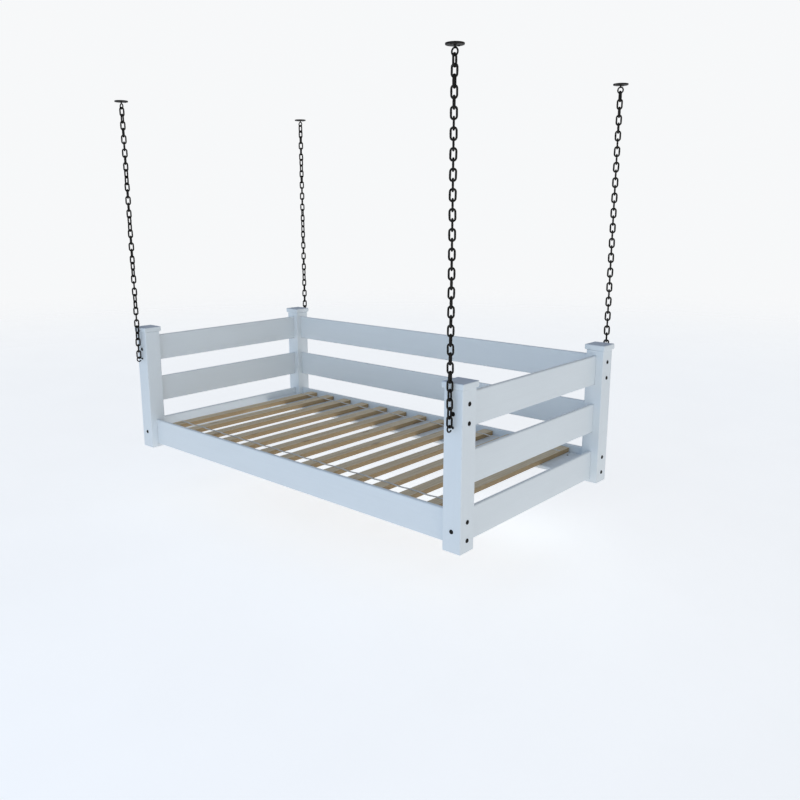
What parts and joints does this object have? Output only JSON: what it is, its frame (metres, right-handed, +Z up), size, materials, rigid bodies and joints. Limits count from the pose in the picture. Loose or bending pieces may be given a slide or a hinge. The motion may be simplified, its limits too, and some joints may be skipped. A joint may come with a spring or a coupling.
{
  "type": "hanging daybed porch swing",
  "caption": "Hanging daybed: white post-and-rail frame with railed back and ends, open front, bare wood slat deck, on dark chains at the four corners.",
  "frame": {"origin": "on the level of the post feet, under the centre of the bed", "axes": "+X along the bed to its right end, +Y to the railed back, +Z up"},
  "size_m": [2.275, 1.315, 1.8784],
  "materials": {
    "white_paint": "satin white paint over planed softwood",
    "slat_wood": "bare sawn wood, weathered grey-beige on top",
    "tape_cloth": "flat woven tape",
    "dark_steel": "dark oil-rubbed coating, semi-gloss"
  },
  "bodies": {
    "ceiling": {"ceiling_eye_front_left": "dark_steel", "ceiling_eye_front_right": "dark_steel", "ceiling_eye_back_left": "dark_steel", "ceiling_eye_back_right": "dark_steel"},
    "top_link_front_left": {"top_link_front_left": "dark_steel"},
    "top_link_front_right": {"top_link_front_right": "dark_steel"},
    "top_link_back_left": {"top_link_back_left": "dark_steel"},
    "top_link_back_right": {"top_link_back_right": "dark_steel"},
    "chain_upper_front_left": {"chain_upper_front_left": "dark_steel"},
    "chain_upper_front_right": {"chain_upper_front_right": "dark_steel"},
    "chain_upper_back_left": {"chain_upper_back_left": "dark_steel"},
    "chain_upper_back_right": {"chain_upper_back_right": "dark_steel"},
    "chain_lower_front_left": {"chain_lower_front_left": "dark_steel"},
    "chain_lower_front_right": {"chain_lower_front_right": "dark_steel"},
    "chain_lower_back_left": {"chain_lower_back_left": "dark_steel"},
    "chain_lower_back_right": {"chain_lower_back_right": "dark_steel"},
    "bed": {"post_front_left": "white_paint", "post_front_right": "white_paint", "post_back_left": "white_paint", "post_back_right": "white_paint", "cap_front_left": "white_paint", "cap_front_right": "white_paint", "cap_back_left": "white_paint", "cap_back_right": "white_paint", "end_rail_left_bottom": "white_paint", "end_rail_left_middle": "white_paint", "end_rail_left_top": "white_paint", "end_rail_right_bottom": "white_paint", "end_rail_right_middle": "white_paint", "end_rail_right_top": "white_paint", "back_rail_bottom": "white_paint", "back_rail_middle": "white_paint", "back_rail_top": "white_paint", "front_rail": "white_paint", "front_cleat": "white_paint", "back_cleat": "white_paint", "end_cleat_left": "white_paint", "end_cleat_right": "white_paint", "deck_board": "white_paint", "slat_01": "slat_wood", "slat_02": "slat_wood", "slat_03": "slat_wood", "slat_04": "slat_wood", "slat_05": "slat_wood", "slat_06": "slat_wood", "slat_07": "slat_wood", "slat_08": "slat_wood", "slat_09": "slat_wood", "slat_10": "slat_wood", "slat_11": "slat_wood", "slat_12": "slat_wood", "slat_13": "slat_wood", "slat_tape_front": "tape_cloth", "slat_tape_back": "tape_cloth", "screw_eye_front_left": "dark_steel", "screw_eye_front_right": "dark_steel", "screw_eye_back_left": "dark_steel", "screw_eye_back_right": "dark_steel"}
  },
  "joints": [
    {"name": "sway_front_left", "type": "hinge", "parent": "ceiling", "child": "top_link_front_left", "pos_m": [-1.0855, -0.6235, 1.8504], "axis": [0, 1, 0], "range_deg": [-8, 8]},
    {"name": "swing_front_left", "type": "hinge", "parent": "top_link_front_left", "child": "chain_upper_front_left", "pos_m": [-1.0855, -0.6235, 1.8106], "axis": [1, 0, 0], "range_deg": [-20, 20]},
    {"name": "swing_level_front_left", "type": "hinge", "parent": "chain_upper_front_left", "child": "chain_lower_front_left", "pos_m": [-1.0855, -0.6235, 0.6977], "axis": [1, 0, 0], "range_deg": [-20, 20]},
    {"name": "sway_front_right", "type": "hinge", "parent": "ceiling", "child": "top_link_front_right", "pos_m": [1.0855, -0.6235, 1.8504], "axis": [0, 1, 0], "range_deg": [-8, 8]},
    {"name": "swing_front_right", "type": "hinge", "parent": "top_link_front_right", "child": "chain_upper_front_right", "pos_m": [1.0855, -0.6235, 1.8106], "axis": [1, 0, 0], "range_deg": [-20, 20]},
    {"name": "swing_level_front_right", "type": "hinge", "parent": "chain_upper_front_right", "child": "chain_lower_front_right", "pos_m": [1.0855, -0.6235, 0.6977], "axis": [1, 0, 0], "range_deg": [-20, 20]},
    {"name": "sway_back_left", "type": "hinge", "parent": "ceiling", "child": "top_link_back_left", "pos_m": [-1.0855, 0.6235, 1.8504], "axis": [0, 1, 0], "range_deg": [-8, 8]},
    {"name": "swing_back_left", "type": "hinge", "parent": "top_link_back_left", "child": "chain_upper_back_left", "pos_m": [-1.0855, 0.6235, 1.8106], "axis": [1, 0, 0], "range_deg": [-20, 20]},
    {"name": "swing_level_back_left", "type": "hinge", "parent": "chain_upper_back_left", "child": "chain_lower_back_left", "pos_m": [-1.0855, 0.6235, 0.6977], "axis": [1, 0, 0], "range_deg": [-20, 20]},
    {"name": "sway_back_right", "type": "hinge", "parent": "ceiling", "child": "top_link_back_right", "pos_m": [1.0855, 0.6235, 1.8504], "axis": [0, 1, 0], "range_deg": [-8, 8]},
    {"name": "swing_back_right", "type": "hinge", "parent": "top_link_back_right", "child": "chain_upper_back_right", "pos_m": [1.0855, 0.6235, 1.8106], "axis": [1, 0, 0], "range_deg": [-20, 20]},
    {"name": "swing_level_back_right", "type": "hinge", "parent": "chain_upper_back_right", "child": "chain_lower_back_right", "pos_m": [1.0855, 0.6235, 0.6977], "axis": [1, 0, 0], "range_deg": [-20, 20]},
    {"name": "sway_level_bed", "type": "hinge", "parent": "chain_lower_front_left", "child": "bed", "pos_m": [-1.0855, -0.6235, 0.524], "axis": [0, 1, 0], "range_deg": [-8, 8]}
  ],
  "couplings": [
    {"joint": "sway_front_right", "follows": "sway_front_left", "ratio": 1},
    {"joint": "swing_front_right", "follows": "swing_front_left", "ratio": 1},
    {"joint": "sway_back_left", "follows": "sway_front_left", "ratio": 1},
    {"joint": "swing_back_left", "follows": "swing_front_left", "ratio": 1},
    {"joint": "sway_back_right", "follows": "sway_front_left", "ratio": 1},
    {"joint": "swing_back_right", "follows": "swing_front_left", "ratio": 1},
    {"joint": "swing_level_front_left", "follows": "swing_front_left", "ratio": -1},
    {"joint": "swing_level_front_right", "follows": "swing_front_left", "ratio": -1},
    {"joint": "swing_level_back_left", "follows": "swing_front_left", "ratio": -1},
    {"joint": "swing_level_back_right", "follows": "swing_front_left", "ratio": -1},
    {"joint": "sway_level_bed", "follows": "sway_front_left", "ratio": -1}
  ]
}
